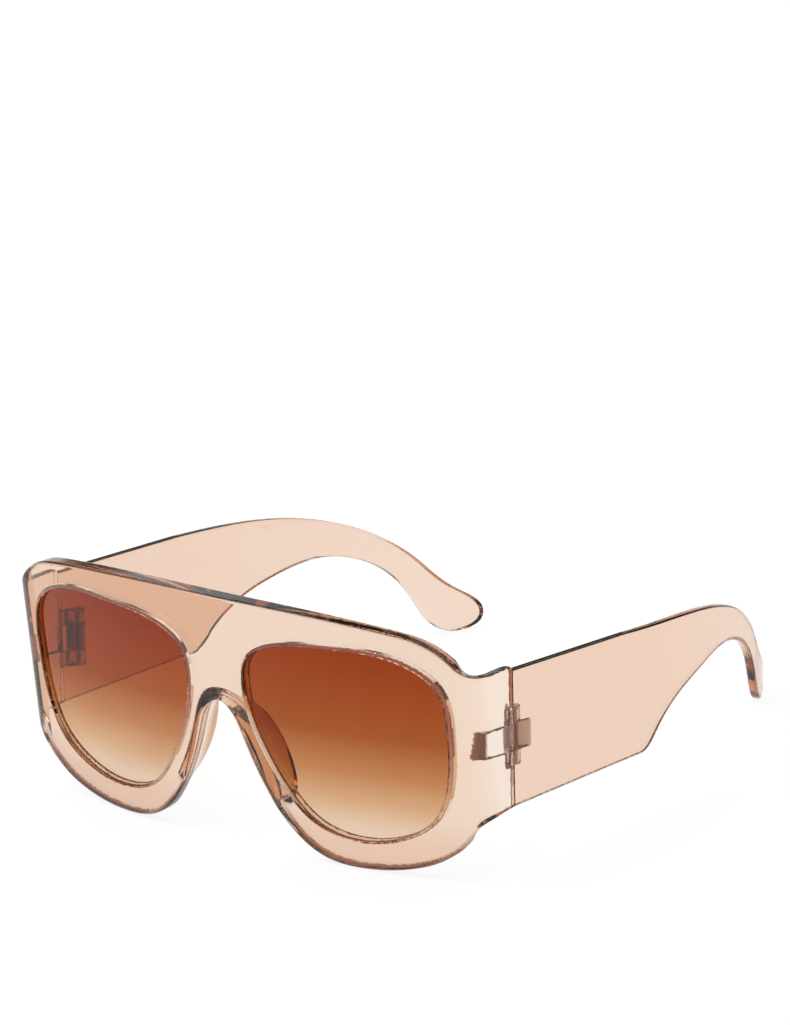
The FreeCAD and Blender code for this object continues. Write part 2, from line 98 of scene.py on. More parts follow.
# Hinges
PIVOT_X = 68.6
PIVOT_U = 3.2
KNUCKLE = 1.8
SLOT_HALF = 3.2
TONGUE_HALF = 3.1
TONGUE_LEAN = math.radians(37.0)
HINGE_HALF = 7.0
EAR_LEAN = math.radians(45.0)
POCKET_LENGTH = 8.8
POCKET_SKIN = 1.2
BORE = 0.74
SCREW_RADIUS = 0.7
SCREW_HEAD = 1.25
SCREW_HEAD_HEIGHT = 0.7
SCREW_RECESS = 0.1
SCREW_SLOT = 0.35
SCREW_CHAMFER = 0.2

# How far the mould rolls its edges over
BROW_ROLL, CHIN_ROLL = 0.6, 1.2
NOTCH_ROLL = 0.9
TEMPLE_ROLL = 0.7
RIM_ROLL = 0.4
JOINT_ROLL = 0.2
PAD_ROLL = 0.9
ROOT_FILLET = 0.5

# How finely the mouldings' skins and the outlines are drawn
SKIN_STEP = 0.4
LENS_POINTS = 480
LENS_RIM_POINTS = 200
BROW_POINTS = 641
CHIN_POINTS = 420
NOTCH_POINTS = 90
PAD_POINTS = 60
TEMPLE_POINTS = 520
SCREW_SIDES, SCREW_RINGS = 40, 69

# How outlines are measured: in batches, roughly far off and exactly close by, and for very many points
# off a table
BATCH = 6000
TABLE_FROM = 1000000
TABLE_STEP = 0.2
SHORT_OUTLINE = 100
ROUGH_EVERY = 12
LONG_RUN = 2.0
CLOSE_BY = 3.0
FAR_OFF = 50.0

# Outlines as fractions of the spans that they are used with
LENS_SHAPE = (
    (0.72, 0.90), (0.93, 0.71), (0.995, 0.25), (0.95, -0.28), (0.81, -0.65), (0.54, -0.875),
    (0.0, -1.0), (-0.42, -0.855), (-0.68, -0.525), (-0.875, -0.12), (-0.995, 0.47),
    (-0.945, 0.72), (-0.71, 0.905), (-0.1, 1.0),
)
BROW_SHAPE = ((0.1, 0.983), (0.377, 0.845), (0.619, 0.69), (0.803, 0.49), (0.931, 0.215), (1.0, 0.0))
CHIN_SHAPE = (
    (1.0, 1.0), (0.93, 0.816), (0.86, 0.658), (0.74, 0.442), (0.58, 0.252), (0.3, 0.058), (0.04, 0.0),
    (-0.273, 0.118), (-0.45, 0.385), (-0.585, 0.745), (-0.7, 1.15), (-0.8, 1.5),
)
CORNER_SHAPE = ((0.154, 0.765), (0.333, 0.468), (0.5, 0.235), (0.667, 0.11), (0.833, 0.04), (1.0, 0.0))
NOTCH_SHAPE = ((1.5, -0.12), (0.975, 0.26), (0.6, 0.559), (0.37, 0.814), (0.212, 0.95))
PAD_SHAPE = ((0.0, 0.0), (0.55, 0.06), (0.97, 0.28), (0.97, 0.6), (0.55, 0.86), (0.0, 1.0))
NOTCH_SHOULDER = NOTCH_HALF * NOTCH_SHAPE[3][0]
NOTCH_REACH = (36.0, 13.0, 46.0)

# Temple's outline in millimetres back and up from its joint: over the bend, round the tip and back under
TEMPLE_SHAPE = (
    (TEMPLE_FLAT, JOINT_HALF), (62.0, 15.64), (84.0, 12.4), (97.12, 7.19), (106.96, 0.0), (115.49, -8.69),
    (121.8, -15.4), (121.2, -17.98), (118.01, -20.1), (114.38, -20.29), (111.41, -18.42),
    (107.29, -11.79), (102.59, -5.0), (93.0, 1.11), (84.0, 2.8), (71.5, 0.53), (59.3, -4.07),
    (51.8, -9.58), (47.1, -13.61), (43.9, -14.1),
)


def smooth_line(points, samples, closed=False):
    """Fine points along the one smooth curve through the given points."""
    p = np.array(points, float)
    if closed:
        p = np.vstack([p, p[:1]])
    h = np.linalg.norm(np.diff(p, axis=0), axis=1)
    t = np.concatenate([[0.0], np.cumsum(h)])
    n = len(p)
    grid = np.zeros((n, n))
    goal = np.zeros((n, 2))
    slope = np.diff(p, axis=0) / h[:, None]
    for i in range(1, n - 1):
        grid[i, i - 1:i + 2] = h[i], 2 * (h[i - 1] + h[i]), h[i - 1]
        goal[i] = 3 * (h[i] * slope[i - 1] + h[i - 1] * slope[i])
    if closed:
        grid[0, 0], grid[0, n - 1] = 1, -1
        grid[n - 1, 0], grid[n - 1, 1] = 2 * (h[-1] + h[0]), h[-1]
        grid[n - 1, n - 2] = h[0]
        goal[n - 1] = 3 * (h[0] * slope[-1] + h[-1] * slope[0])
    else:
        for row, near in ((0, (0, 1, 2, 3)), (n - 1, (n - 1, n - 2, n - 3, n - 4))):
            fit = np.vander(t[list(near)] - t[row], 4, increasing=True)
            grid[row, row] = 1
            goal[row] = np.linalg.solve(fit, p[list(near)])[1]
    run = np.linalg.solve(grid, goal)
    at = np.linspace(0, t[-1], samples, endpoint=not closed)
    k = np.clip(np.searchsorted(t, at, side="right") - 1, 0, n - 2)
    s = ((at - t[k]) / h[k])[:, None]
    w = h[k][:, None]
    return ((1 + 2 * s) * (1 - s) ** 2 * p[k] + s * (1 - s) ** 2 * w * run[k]
            + s ** 2 * (3 - 2 * s) * p[k + 1] - s ** 2 * (1 - s) * w * run[k + 1])


def gap_to_line(loop, a, b):
    """Distance from points to a closed outline, negative inside it."""
    near = np.empty(len(a))
    end = np.roll(loop, -1, axis=0)
    run = end - loop
    length = (run ** 2).sum(1)
    rise = np.where(run[:, 1] == 0, 1e-12, run[:, 1])
    for low in range(0, len(a), BATCH):
        x = a[low:low + BATCH, None]
        z = b[low:low + BATCH, None]
        dx = x - loop[:, 0]
        dz = z - loop[:, 1]
        t = np.clip((dx * run[:, 0] + dz * run[:, 1]) / length, 0, 1)
        gap = np.sqrt(((dx - t * run[:, 0]) ** 2 + (dz - t * run[:, 1]) ** 2).min(1))
        over = ((loop[:, 1] <= z) != (end[:, 1] <= z)) & (x < loop[:, 0] + dz * run[:, 0] / rise)
        near[low:low + BATCH] = np.where(over.sum(1) % 2 == 1, -gap, gap)
    return near


def gap_from_table(loop, a, b):
    """Distance from very many points to a closed outline, read off a fine table."""
    low_a, low_b = a.min(), b.min()
    rows = np.arange(low_a, a.max() + 2 * TABLE_STEP, TABLE_STEP)
    columns = np.arange(low_b, b.max() + 2 * TABLE_STEP, TABLE_STEP)
    table = gap_to(loop, rows[:, None], columns[None, :])
    at_a, at_b = (a - low_a) / TABLE_STEP, (b - low_b) / TABLE_STEP
    i, j = at_a.astype(int), at_b.astype(int)
    at_a, at_b = at_a - i, at_b - j
    return ((table[i, j] * (1 - at_b) + table[i, j + 1] * at_b) * (1 - at_a)
            + (table[i + 1, j] * (1 - at_b) + table[i + 1, j + 1] * at_b) * at_a)


def gap_to(loop, a, b):
    """Distance from points to a closed outline, exact near it and rough far from it."""
    a, b = np.broadcast_arrays(a, b)
    if a.size > TABLE_FROM:
        return gap_from_table(loop, a, b)
    flat_a, flat_b = a.ravel(), b.ravel()
    if len(loop) < SHORT_OUTLINE:
        return gap_to_line(loop, flat_a, flat_b).reshape(a.shape)
    run = np.linalg.norm(np.roll(loop, -1, axis=0) - loop, axis=1)
    kept = (np.arange(len(loop)) % ROUGH_EVERY == 0) | (run > LONG_RUN) | (np.roll(run, 1) > LONG_RUN)
    gap = gap_to_line(loop[kept], flat_a, flat_b)
    close = np.abs(gap) < CLOSE_BY
    gap[close] = gap_to_line(loop, flat_a[close], flat_b[close])
    return gap.reshape(a.shape)


def rolled(gaps, roll):
    """Common part of several shapes, its edges rolled over."""
    inner = -math.inf
    reach = 0.0
    for gap in gaps:
        inner = np.maximum(inner, gap + roll)
        reach = reach + np.maximum(gap + roll, 0) ** 2
    return np.sqrt(reach) + np.minimum(inner, 0) - roll


def grown_on(a, b, fillet):
    """Two shapes as one moulding with a fillet between them."""
    reach = np.sqrt(np.maximum(fillet - a, 0) ** 2 + np.maximum(fillet - b, 0) ** 2)
    return np.maximum(fillet, np.minimum(a, b)) - reach


class PlanLine:
    """Plan line of the front: a wide arc, a corner and a straight end piece."""

    def __init__(self, radius, side, corner):
        self.radius, self.side, self.corner = radius, side, corner
        self.reach = side - corner
        self.turn = math.asin(self.reach / (radius - corner))
        self.back = FRONT_RADIUS - (radius - corner) * math.cos(self.turn)
        self.corner_start = radius * self.turn
        self.corner_end = self.corner_start + corner * (math.pi / 2 - self.turn)

    def gap(self, x, y):
        """Distance to the line, negative behind it, and the way along it from the middle."""
        qx, qy = x - self.reach, y - self.back
        on_front = math.sin(self.turn) * qy + math.cos(self.turn) * qx < 0
        arc = np.hypot(x, y - FRONT_RADIUS) - self.radius
        bend = np.hypot(qx, qy) - self.corner
        gap = np.where(on_front, arc, np.where(qy > 0, x - self.side, bend))
        on_arc = self.radius * np.arctan2(x, FRONT_RADIUS - y)
        on_bend = self.corner_start + self.corner * (np.arctan2(qx, -qy) - self.turn)
        along = np.where(on_front, on_arc, np.where(qy > 0, self.corner_end + qy, on_bend))
        return gap, along

    def along_at(self, x):
        """Way along the arc at a distance from the middle."""
        return self.radius * math.asin(x / self.radius)

    def along_corner(self, quarter):
        """Way along the line at a share of the quarter turn round the corner."""
        angle = quarter * math.pi / 2
        if angle < self.turn:
            return self.along_at(self.reach + self.corner * math.sin(angle))
        return self.corner_start + self.corner * (angle - self.turn)


OUTER_PLAN = PlanLine(FRONT_RADIUS, HALF_WIDTH, CORNER_RADIUS)
INNER_PLAN = PlanLine(FRONT_RADIUS - FRONT_DEPTH, HALF_WIDTH - WING_WALL, INNER_CORNER_RADIUS)


def temple_place(y, z):
    """Upright front frame to the temple's own: back along the temple and up the joint."""
    back, up = y - JOINT_DEPTH, z - JOINT_LEVEL
    return back * math.cos(DROOP) - up * math.sin(DROOP), back * math.sin(DROOP) + up * math.cos(DROOP)


def lens_outline(samples=LENS_POINTS):
    """Right lens opening, seen from the front."""
    return smooth_line([(LENS_X + a * LENS_HALF_WIDTH, LENS_Z + b * LENS_HALF_HEIGHT) for a, b in LENS_SHAPE],
                       samples, closed=True)


def front_edge(front, corner_end, joint_end, joint_depth):
    """Points of the brow or the chin, on round the corner and past the joint, along the outer face."""
    along, level = front[-1]
    edge = list(front)
    for quarter, left in CORNER_SHAPE:
        edge.append((OUTER_PLAN.along_corner(quarter), corner_end + left * (level - corner_end)))
    run = joint_depth - OUTER_PLAN.back
    past = 1.5
    edge.append((OUTER_PLAN.corner_end + past * run, corner_end + past * (joint_end - corner_end)))
    return edge


def front_outline():
    """Right half of the front's outline laid flat along its outer face, carried on past the middle."""
    reach = OUTER_PLAN.reach - LENS_X
    rise, lean = JOINT_HALF * math.cos(DROOP), JOINT_HALF * math.sin(DROOP)
    foot = BROW_OVER_LENS - BROW_DROP
    brow = [(OUTER_PLAN.along_at(LENS_X + a * reach), foot + b * BROW_DROP) for a, b in BROW_SHAPE]
    brow = front_edge(brow, JOINT_LEVEL + rise + WING_RISE, JOINT_LEVEL + rise, JOINT_DEPTH + lean)
    crown = smooth_line([(-s, z) for s, z in reversed(brow)] + [(0, BROW_TOP)] + brow, BROW_POINTS)
    chin = [(OUTER_PLAN.along_at(LENS_X + a * reach), b * CHIN_RISE) for a, b in CHIN_SHAPE]
    end = front_edge(chin[:1], JOINT_LEVEL - rise - WING_DROP, JOINT_LEVEL - rise, JOINT_DEPTH - lean)
    chin = smooth_line(end[:0:-1] + chin, CHIN_POINTS)
    past = LENS_X / 2
    middle = [(0, NOTCH_HEIGHT / 2), (-past, NOTCH_HEIGHT / 2), (-past, BROW_TOP)]
    return np.vstack([crown[BROW_POINTS // 2:], chin, middle])


def notch_outline():
    """Space for the nose where it is narrowest, both halves."""
    right = [(a * NOTCH_HALF, b * NOTCH_HEIGHT) for a, b in NOTCH_SHAPE]
    left = [(-x, z) for x, z in reversed(right)]
    return smooth_line(right + [(0, NOTCH_HEIGHT)] + left, NOTCH_POINTS)


def pad_outline():
    """Nose pad, seen from the side."""
    deep, tall = PAD_BACK - PAD_ROOT, PAD_TOP - PAD_BOTTOM
    return smooth_line([(PAD_ROOT + a * deep, PAD_BOTTOM + b * tall) for a, b in PAD_SHAPE], PAD_POINTS)


def temple_outline():
    """Temple laid flat, carried on a little before its joint."""
    before = -2.0
    edge = smooth_line(TEMPLE_SHAPE, TEMPLE_POINTS)
    return np.vstack([[(before, JOINT_HALF)], edge, [(0.0, -JOINT_HALF), (before, -JOINT_HALF)]])


def ear_outline():
    """Hinge ear in plan, from the wing's wall to the knuckle."""
    touch_x, touch_u = PIVOT_X - KNUCKLE * math.sin(EAR_LEAN), PIVOT_U - KNUCKLE * math.cos(EAR_LEAN)
    root = HALF_WIDTH - WING_WALL / 2
    end = -JOINT_GAP / 2
    return np.array([(touch_x, touch_u), (root, touch_u - (root - touch_x) * math.tan(EAR_LEAN)), (root, end),
                     (PIVOT_X + KNUCKLE, end), (PIVOT_X + KNUCKLE, PIVOT_U), (PIVOT_X, PIVOT_U)])


def tongue_outline():
    """Temple's tongue in plan, from the panel to the knuckle."""
    touch_x, touch_u = PIVOT_X - KNUCKLE * math.sin(TONGUE_LEAN), PIVOT_U + KNUCKLE * math.cos(TONGUE_LEAN)
    root = HALF_WIDTH - TEMPLE_WALL / 2
    return np.array([(PIVOT_X, PIVOT_U - KNUCKLE), (root, PIVOT_U - KNUCKLE),
                     (root, touch_u + (root - touch_x) * math.tan(TONGUE_LEAN)), (touch_x, touch_u),
                     (PIVOT_X, PIVOT_U)])


LENS_LINE = lens_outline()
FRONT_LINE = front_outline()
NOTCH_LINE = notch_outline()
PAD_LINE = pad_outline()
TEMPLE_LINE = temple_outline()
EAR_LINE = ear_outline()
TONGUE_LINE = tongue_outline()


def spread(y, before, behind):
    """How much the notch opens before and behind its crest, softly turned over."""
    d = y - NOTCH_CREST
    return (behind - before) / 2 * d + (behind + before) / 2 * (np.hypot(d, NOTCH_SOFT) - NOTCH_SOFT)


def notch_gap(x, y, z):
    """Distance to the space for the nose: narrowest near the face, flared behind."""
    x, y, z = np.broadcast_arrays(x, y, z)
    gap = np.full(x.shape, FAR_OFF)
    close = (x < NOTCH_REACH[0]) & (y < NOTCH_REACH[1]) & (z < NOTCH_REACH[2])
    px, py, pz = x[close], y[close], z[close]
    wider = spread(py, NOTCH_BEVEL, NOTCH_FLARE)
    taller = spread(py, NOTCH_RISE, NOTCH_BACK_RISE)
    share = np.clip(px / (NOTCH_SHOULDER + wider), 0, 1)
    share = share * share * (3 - 2 * share)
    gap[close] = gap_to_line(NOTCH_LINE, px - wider * share, pz - taller * (1 - share))
    return gap


def front_gap(x, y, z):
    """Distance to the moulded front, negative inside the plastic."""
    x = np.abs(x)
    face, along = OUTER_PLAN.gap(x, y)
    back = INNER_PLAN.gap(x, y)[0]
    u, v = temple_place(y, z)
    low = np.clip((LENS_Z + LENS_HALF_HEIGHT / 2 - z) / LENS_HALF_HEIGHT, 0, 1)
    roll = BROW_ROLL + (CHIN_ROLL - BROW_ROLL) * low * np.clip((HALF_WIDTH - x) / CORNER_RADIUS, 0, 1)
    shell = rolled([face, -back, gap_to(FRONT_LINE, along, z)], roll)
    shell = rolled([shell, u + JOINT_GAP / 2], JOINT_ROLL)
    nose = notch_gap(x, y, z)
    pad = rolled([nose - PAD_WALL, gap_to(PAD_LINE, y, z)], PAD_ROLL)
    shell = grown_on(shell, pad, ROOT_FILLET)
    shell = rolled([shell, -nose], NOTCH_ROLL)
    lens = gap_to(LENS_LINE, x, z)
    shell = rolled([shell, -lens], RIM_ROLL)
    seat = LENS_SET_BACK - PLAY
    groove = np.maximum(face + seat, -face - seat - LENS_THICKNESS - 2 * PLAY)
    groove = np.maximum(lens - GROOVE_DEPTH, groove)
    shell = np.maximum(shell, -groove)
    axis = np.hypot(x - PIVOT_X, u - PIVOT_U)
    arm = rolled([gap_to(EAR_LINE, x, u), np.abs(v) - HINGE_HALF], JOINT_ROLL)
    knuckle = rolled([axis - KNUCKLE, np.abs(v) - HINGE_HALF], JOINT_ROLL)
    shell = grown_on(shell, np.minimum(arm, knuckle), ROOT_FILLET)
    pocket = np.maximum(np.abs(v) - SLOT_HALF, np.maximum(x - HALF_WIDTH + POCKET_SKIN, -u - POCKET_LENGTH))
    shell = rolled([shell, -pocket], JOINT_ROLL)
    head_seat = HINGE_HALF - SCREW_RECESS - SCREW_HEAD_HEIGHT
    bore = np.maximum(axis - BORE, np.abs(v) - 2 * HINGE_HALF)
    head = np.maximum(axis - SCREW_HEAD - BORE + SCREW_RADIUS, head_seat - v)
    return np.maximum(shell, -np.minimum(bore, head))


def temple_gap(x, u, v):
    """Distance to the right temple in its own frame, negative inside the plastic."""
    bend = np.hypot(x - HALF_WIDTH + TEMPLE_WRAP, u - TEMPLE_FLAT) - TEMPLE_WRAP
    face = np.where(u > TEMPLE_FLAT, bend, x - HALF_WIDTH)
    arm = rolled([face, -face - TEMPLE_WALL, gap_to(TEMPLE_LINE, u, v)], TEMPLE_ROLL)
    arm = rolled([arm, JOINT_GAP / 2 - u], JOINT_ROLL)
    axis = np.hypot(x - PIVOT_X, u - PIVOT_U)
    tongue = rolled([gap_to(TONGUE_LINE, x, u), np.abs(v) - TONGUE_HALF], JOINT_ROLL)
    knuckle = rolled([axis - KNUCKLE, np.abs(v) - TONGUE_HALF], JOINT_ROLL)
    arm = grown_on(arm, np.minimum(tongue, knuckle), ROOT_FILLET)
    return np.maximum(arm, BORE - axis)


def skin(gap, low, high, step):
    """Skin of a moulded shape: a point in each cell that its surface crosses, and the quads between."""
    axes = [np.arange(a, b + step, step) for a, b in zip(low, high)]
    field = gap(axes[0][:, None, None], axes[1][None, :, None], axes[2][None, None, :])
    field = np.ascontiguousarray(np.broadcast_to(field, [len(a) for a in axes]))
    filled = field < 0
    corners = [(i, j, k) for i in (0, 1) for j in (0, 1) for k in (0, 1)]
    cells = [n - 1 for n in field.shape]

    def at_corner(grid, corner):
        return grid[tuple(slice(c, c + n) for c, n in zip(corner, cells))]

    count = sum(at_corner(filled, c).astype(np.uint8) for c in corners)
    crossed = (count > 0) & (count < 8)
    number = np.full(crossed.shape, -1, np.int64)
    number[crossed] = np.arange(crossed.sum())
    place = np.zeros((int(crossed.sum()), 3))
    hits = np.zeros(len(place))
    values = {c: at_corner(field, c)[crossed] for c in corners}
    for a in corners:
        for axis in range(3):
            if a[axis]:
                continue
            b = tuple(1 if n == axis else c for n, c in enumerate(a))
            fa, fb = values[a], values[b]
            cross = (fa < 0) != (fb < 0)
            share = fa[cross] / (fa[cross] - fb[cross])
            place[cross] += np.array(a, float)
            place[cross, axis] += share
            hits[cross] += 1
    points = np.array(low) + step * (np.argwhere(crossed) + place / hits[:, None])
    quads = []
    for axis in range(3):
        one, two = (axis + 1) % 3, (axis + 2) % 3
        inner = [slice(1, -1)] * 3
        inner[axis] = slice(0, -1)
        outer = list(inner)
        outer[axis] = slice(1, None)
        here, there = filled[tuple(inner)], filled[tuple(outer)]
        for leaves, order in ((here & ~there, 1), (~here & there, -1)):
            spot = np.argwhere(leaves)
            spot[:, one] += 1
            spot[:, two] += 1
            ring = []
            for da, db in ((-1, -1), (0, -1), (0, 0), (-1, 0)):
                cell = spot.copy()
                cell[:, one] += da
                cell[:, two] += db
                ring.append(number[cell[:, 0], cell[:, 1], cell[:, 2]])
            quads.append(np.stack(ring[::order], axis=1))
    return points, np.vstack(quads)


def surface_turn(gap, points):
    """Way out of the plastic at points of its surface, and how far each still is from it."""
    reach = 0.02
    corners = np.array([(1, 1, 1), (1, -1, -1), (-1, 1, -1), (-1, -1, 1)], float)
    total = np.zeros_like(points)
    level = np.zeros(len(points))
    for corner in corners:
        p = points + corner * reach
        value = gap(p[:, 0], p[:, 1], p[:, 2])
        total += corner * value[:, None]
        level += value / 4
    out = total / np.maximum(np.linalg.norm(total, axis=1), 1e-9)[:, None]
    return out, level


def moulding(gap, low, high):
    """Points, quads and exact normals of a moulded shape."""
    most = 0.1
    points, quads = skin(gap, low, high, SKIN_STEP)
    out, level = surface_turn(gap, points)
    points = points - out * np.clip(level, -most, most)[:, None]
    return points, quads, surface_turn(gap, points)[0]


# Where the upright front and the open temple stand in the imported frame, from the right hinge
RIGHT_HINGE = next(j for j in frame["joints"] if j["child"] == "right_temple")
LEAN = DROOP - math.asin(RIGHT_HINGE["axis"][1])
PIVOT_AT = np.array(RIGHT_HINGE["pos_m"]) / MM
PIVOT_UPRIGHT = np.array((PIVOT_X, JOINT_DEPTH + PIVOT_U * math.cos(DROOP),
                          JOINT_LEVEL - PIVOT_U * math.sin(DROOP)))


def turn_about_x(angle):
    cos, sin = math.cos(angle), math.sin(angle)
    return np.array([(1, 0, 0), (0, cos, -sin), (0, sin, cos)])


def front_stands(points):
    """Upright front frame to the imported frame, millimetres to metres."""
    return ((np.asarray(points, float) - PIVOT_UPRIGHT) @ turn_about_x(LEAN).T + PIVOT_AT) * MM


def temple_stands(points):
    """Right temple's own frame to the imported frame, millimetres to metres."""
    pivot = np.array((PIVOT_X, PIVOT_U, 0.0))
    return ((np.asarray(points, float) - pivot) @ turn_about_x(LEAN - DROOP).T + PIVOT_AT) * MM


def finished(name, points, faces, out, marks, material, node, body, slot):
    """Piece with exact normals and its marked surfaces that stands for a CAD node."""
    mesh = bpy.data.meshes.new(name)
    mesh.from_pydata(points.tolist(), [], faces if isinstance(faces, list) else faces.tolist())
    mesh.polygons.foreach_set("use_smooth", np.ones(len(mesh.polygons), bool))
    mesh.materials.append(material)
    mesh.update()
    mesh.normals_split_custom_set_from_vertices(out.tolist())
    for surface, share in marks.items():
        layer = mesh.attributes.new(surface, "FLOAT", "POINT")
        layer.data.foreach_set("value", np.broadcast_to(np.asarray(share, np.float32), len(points)).copy())
    obj = bpy.data.objects.new(name, mesh)
    bpy.context.scene.collection.objects.link(obj)
    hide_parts(node)
    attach(obj, body)
    return obj


def mirrored(points, faces, out):
    """Mirror image across the middle, with its faces turned outwards again."""
    flip = np.array((-1.0, 1.0, 1.0))
    turned = [f[::-1] for f in faces] if isinstance(faces, list) else faces[:, ::-1]
    return points * flip, turned, out * flip


# Marked surfaces: how close to a wall a point counts as on it, where marks start or fade in, and how
# strong they are
ON_WALL = 0.1
POCKET_END = (POCKET_LENGTH - 0.6, 0.4)
EARS_FROM, TONGUE_TO = -4.0, 10.0
# Where the painted shade in brown lies on the front's edges: rims turning under, off the lenses, and the
# walls round the lenses
UNDERSIDE = (0.06, 0.12)
OFF_LENS = (2.5, 1.5)
RIM_FADE, RIM_TURN = 0.2, 0.7
EAR_TOOLED, TONGUE_TOOLED = 0.15, 0.6
# Painted shade: a deeper tint low on the front and over the temples, growing paler towards the temples' tips
LOW_PAINTED_SHADE = 0.62
TEMPLE_PAINTED_SHADE, TEMPLE_PALER = 0.9, 0.24
POCKET_AMBER = 0.35
# Strength of the painted shade in brown on the walls round the lenses
RIM_SHADE_BROWN = 0.5

# Room round the mouldings that their skins are searched in
ROOM = 0.7
KNUCKLES_BACK = 6.6
TIP_INSIDE, TIP_BACK, TIP_LOW = 41.0, 123.0, -21.2


def fade_in(value, start, span):
    """Share that is 0 up to a start and 1 a span past it."""
    return np.clip((value - start) / span, 0, 1)


def tooled_front(points):
    """Tooled, matt share of the front, at the pocket's far end and the ears, and what is in the pocket."""
    x = np.abs(points[:, 0])
    u, v = temple_place(points[:, 1], points[:, 2])
    in_slot = (np.abs(v) < SLOT_HALF + ON_WALL) & (x < HALF_WIDTH - POCKET_SKIN + ON_WALL)
    in_pocket = in_slot & (u > -POCKET_LENGTH - 2 * ON_WALL)
    far_end = in_pocket * fade_in(-u, *POCKET_END)
    inside = x < HALF_WIDTH - WING_WALL - ON_WALL
    ears = (np.abs(v) < HINGE_HALF + 2 * ON_WALL) & inside & (u > EARS_FROM)
    return np.maximum(far_end, EAR_TOOLED * ears), in_pocket


def tooled_tongue(points):
    """Tooled, matt share of the temple: its tongue."""
    x, u, v = points.T
    inside = x < HALF_WIDTH - TEMPLE_WALL - ON_WALL
    return TONGUE_TOOLED * ((np.abs(v) < TONGUE_HALF + 2 * ON_WALL) & inside & (u < TONGUE_TO))


def edge_shade_share(points, out):
    """Share of painted shade in brown on the front: where the rims turn under and on the walls round the
    lenses.
    """
    turned_under = fade_in(-out[:, 2], *UNDERSIDE)
    lens = gap_to_line(LENS_LINE[::4], np.abs(points[:, 0]), points[:, 2])
    low = fade_in(-points[:, 2], -2 * CHIN_RISE, CHIN_RISE)
    rim_wall = fade_in(-np.abs(lens), -RIM_ROLL, RIM_FADE) * (np.abs(out[:, 1]) < RIM_TURN)
    return np.maximum(turned_under * low * fade_in(lens, *OFF_LENS), RIM_SHADE_BROWN * rim_wall)


def moulded_front(material):
    """Front frame, marked where its plastic is tooled or amber, and with painted shade as a deeper tint low
    down and brown on its edges.
    """
    points, quads, out = moulding(front_gap, (-HALF_WIDTH - ROOM, -ROOM, -ROOM),
                                  (HALF_WIDTH + ROOM, JOINT_DEPTH + KNUCKLES_BACK, BROW_TOP + ROOM))
    # Painted shade: a deeper tint towards the bottom of the front
    low = fade_in(-points[:, 2], -LENS_Z / 2, CHIN_RISE)
    behind = -INNER_PLAN.gap(np.abs(points[:, 0]), points[:, 1])[0]
    pads = fade_in(behind, ROOT_FILLET, PAD_WALL) * (np.abs(points[:, 0]) < LENS_X)
    tooled, in_pocket = tooled_front(points)
    marks = {
        "tooled": tooled,
        "deep_tint": LOW_PAINTED_SHADE * low,
        "amber": np.maximum(pads, POCKET_AMBER * in_pocket),
        # Painted shade in brown on the rims' undersides and the walls round the lenses
        "brown_edge": edge_shade_share(points, out),
    }
    finished("moulded_front", front_stands(points), quads, out @ turn_about_x(LEAN).T, marks, material,
             "front_frame", "front", "clear_frame")


def moulded_temples(material):
    """Both temples, with painted shade as a deeper tint that is a little paler towards their tips."""
    points, quads, out = moulding(temple_gap, (TIP_INSIDE, -ROOM, TIP_LOW),
                                  (HALF_WIDTH + ROOM, TIP_BACK, JOINT_HALF + ROOM))
    right = temple_stands(points), quads, out @ turn_about_x(LEAN - DROOP).T
    # Painted shade: a deeper tint over the temples, paler towards their tips
    paler = fade_in(points[:, 1], TEMPLE_FLAT, TEMPLE_WRAP / 2)
    marks = {
        "tooled": tooled_tongue(points),
        "deep_tint": TEMPLE_PAINTED_SHADE - TEMPLE_PALER * paler,
        "amber": 0.0,
        "brown_edge": 0.0,
    }
    left = mirrored(*right)
    finished("right_temple_arm", *right, marks, material, "right_temple", "right_temple", "clear_frame")
    finished("left_temple_arm", *left, marks, material, "left_temple", "left_temple", "clear_frame")


